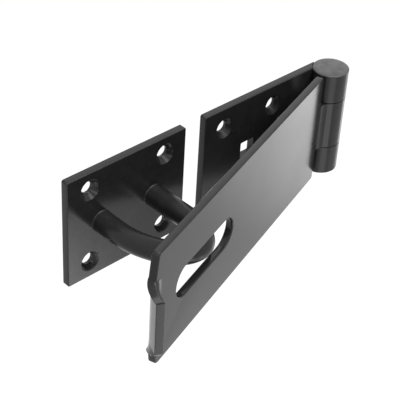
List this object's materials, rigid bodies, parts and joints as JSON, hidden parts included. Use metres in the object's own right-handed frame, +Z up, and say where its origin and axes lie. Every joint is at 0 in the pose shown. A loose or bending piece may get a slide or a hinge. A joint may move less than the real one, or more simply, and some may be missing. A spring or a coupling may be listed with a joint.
{
  "type": "safety hasp",
  "caption": "Heavy swinging hasp with a pinned barrel hinge, pressed finger lip and slot, closing over a round bar staple on a separate screw plate.",
  "frame": {"origin": "centre of the four hinge leaf screw holes, on the face that lies on the door or frame", "axes": "+X along the closed hasp from the staple towards the hinge, +Y into the wall, +Z up along the hinge pin towards its head"},
  "size_m": [0.1416, 0.0584, 0.047],
  "materials": {
    "leaf_coat": "satin black powder coat",
    "hasp_coat": "satin black powder coat",
    "pin_coat": "satin black powder coat",
    "plate_coat": "satin black powder coat",
    "staple_coat": "satin black powder coat"
  },
  "bodies": {
    "base": {"hinge_leaf": "leaf_coat", "hinge_pin": "pin_coat", "staple_plate": "plate_coat", "staple": "staple_coat"},
    "swing": {"hasp": "hasp_coat"}
  },
  "joints": [
    {"name": "hasp_hinge", "type": "hinge", "parent": "base", "child": "swing", "pos_m": [0.03985, -0.00705, 0], "axis": [0, 0, 1], "range_deg": [-18.3, 160]}
  ]
}
